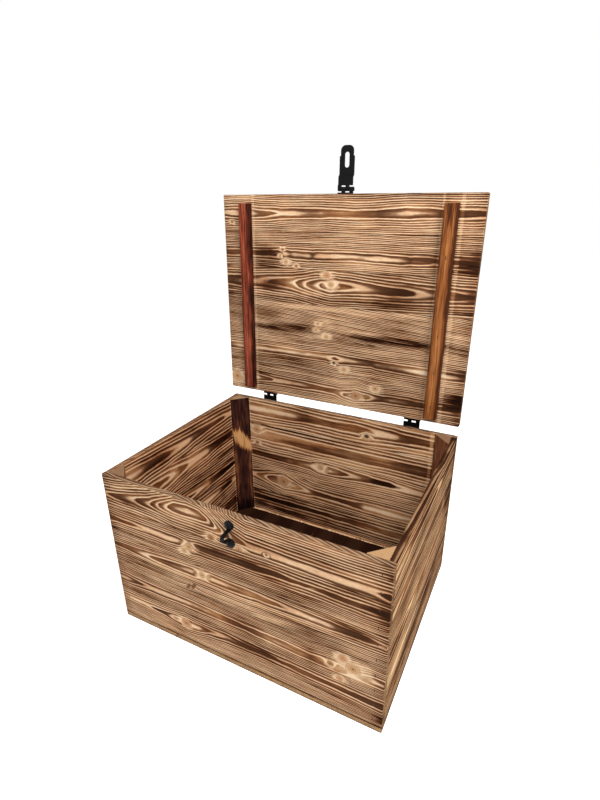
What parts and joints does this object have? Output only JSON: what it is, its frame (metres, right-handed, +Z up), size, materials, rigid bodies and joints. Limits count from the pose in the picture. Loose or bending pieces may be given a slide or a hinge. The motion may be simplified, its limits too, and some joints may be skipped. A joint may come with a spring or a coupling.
{
  "type": "kindling box",
  "caption": "Stapled box of flame-scorched pine with corner posts, an open battened lid on rear hinges, and a hasp that drops over a front staple.",
  "frame": {"origin": "middle of the box's underside, on the surface it stands on", "axes": "+Z up, front with the hasp staple towards -Y, +X to the right seen from the front"},
  "size_m": [0.502, 0.439, 0.807],
  "materials": {
    "scorched_pine": "flame-scorched pine, dark bands between light grain lines, dull lacquer",
    "charred_pine": "heavily scorched pine, nearly black, matt",
    "post_pine": "scorched pine with light end grain, matt",
    "red_brown_stain": "red-brown stained batten with dark edges, satin",
    "orange_brown_stain": "orange-brown stained batten with dark edges, satin",
    "black_metal": "black japanned sheet steel, satin",
    "staple_wire": "galvanised wire, dulled"
  },
  "bodies": {
    "box": {"bottom_panel": "charred_pine", "front_wall": "scorched_pine", "back_wall": "scorched_pine", "left_wall": "scorched_pine", "right_wall": "scorched_pine", "corner_post_front_left": "post_pine", "corner_post_front_right": "post_pine", "corner_post_back_left": "post_pine", "corner_post_back_right": "post_pine", "wall_staples": "staple_wire", "bottom_staples": "staple_wire", "hinge_left_box_leaf": "black_metal", "hinge_left_pin": "black_metal", "hinge_right_box_leaf": "black_metal", "hinge_right_pin": "black_metal", "hinge_box_screws": "black_metal", "hasp_staple": "black_metal", "hasp_staple_screws": "black_metal"},
    "lid": {"lid_panel": "scorched_pine", "lid_batten_left": "red_brown_stain", "lid_batten_right": "orange_brown_stain", "batten_staples": "staple_wire", "hinge_left_lid_leaf": "black_metal", "hinge_right_lid_leaf": "black_metal", "hinge_lid_screws": "black_metal", "hasp_plate": "black_metal", "hasp_pin": "black_metal", "hasp_screws": "black_metal"},
    "hasp_arm": {"hasp_arm": "black_metal"}
  },
  "joints": [
    {"name": "lid_hinge", "type": "hinge", "parent": "box", "child": "lid", "pos_m": [0, 0.20375, 0.32095], "axis": [1, 0, 0], "range_deg": [0, 91.5]},
    {"name": "hasp_hinge", "type": "hinge", "parent": "lid", "child": "hasp_arm", "pos_m": [0.00425, 0.21463, 0.73656], "axis": [1, 0, 0], "range_deg": [-178, 95]}
  ]
}
